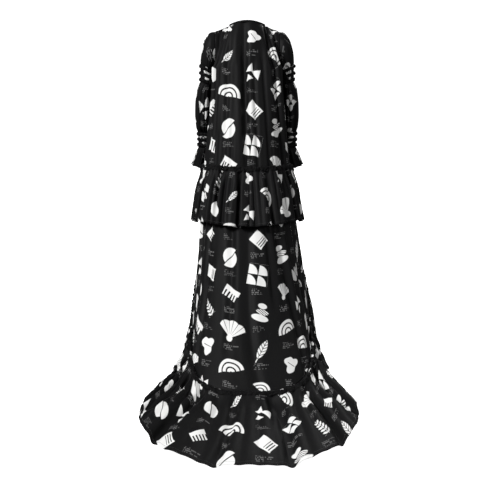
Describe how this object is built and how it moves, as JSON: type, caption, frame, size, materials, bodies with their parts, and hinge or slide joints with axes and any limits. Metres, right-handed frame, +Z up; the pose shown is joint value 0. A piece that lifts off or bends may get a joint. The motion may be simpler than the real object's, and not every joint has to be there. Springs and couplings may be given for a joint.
{
  "type": "maxi dress",
  "caption": "Worn maxi dress with a loose back, gathered peplum, trained skirt with a gathered flounce, and bishop sleeves with ruched bands and flared cuffs.",
  "frame": {"origin": "the centre of the neck opening at the height of the back neck edge, where the wearer's shoulders carry the dress", "axes": "+Z up, +Y the wearer's front, -Y the back and the train, +X the wearer's right; the hem lies on the floor 1.47 m below the origin"},
  "size_m": [0.8348, 1.5875, 1.4826],
  "materials": {
    "printed_cloth": "matte crisp black cloth with a small-scale white print",
    "ruched_trim": "matte black cloth gathered into narrow tucks"
  },
  "bodies": {
    "root": {"bodice_back": "printed_cloth", "bodice_front": "printed_cloth", "skirt": "printed_cloth", "peplum": "printed_cloth", "flounce": "printed_cloth", "sleeve_right": "printed_cloth", "sleeve_left": "printed_cloth", "cuff_right": "printed_cloth", "cuff_left": "printed_cloth", "hip_ruching": "ruched_trim", "flounce_ruching": "ruched_trim", "neck_binding": "ruched_trim", "arm_band_1_right": "ruched_trim", "arm_band_1_left": "ruched_trim", "arm_band_2_right": "ruched_trim", "arm_band_2_left": "ruched_trim", "arm_band_3_right": "ruched_trim", "arm_band_3_left": "ruched_trim", "wrist_band_1_right": "ruched_trim", "wrist_band_1_left": "ruched_trim", "wrist_band_2_right": "ruched_trim", "wrist_band_2_left": "ruched_trim", "wrist_band_3_right": "ruched_trim", "wrist_band_3_left": "ruched_trim"}
  },
  "joints": []
}
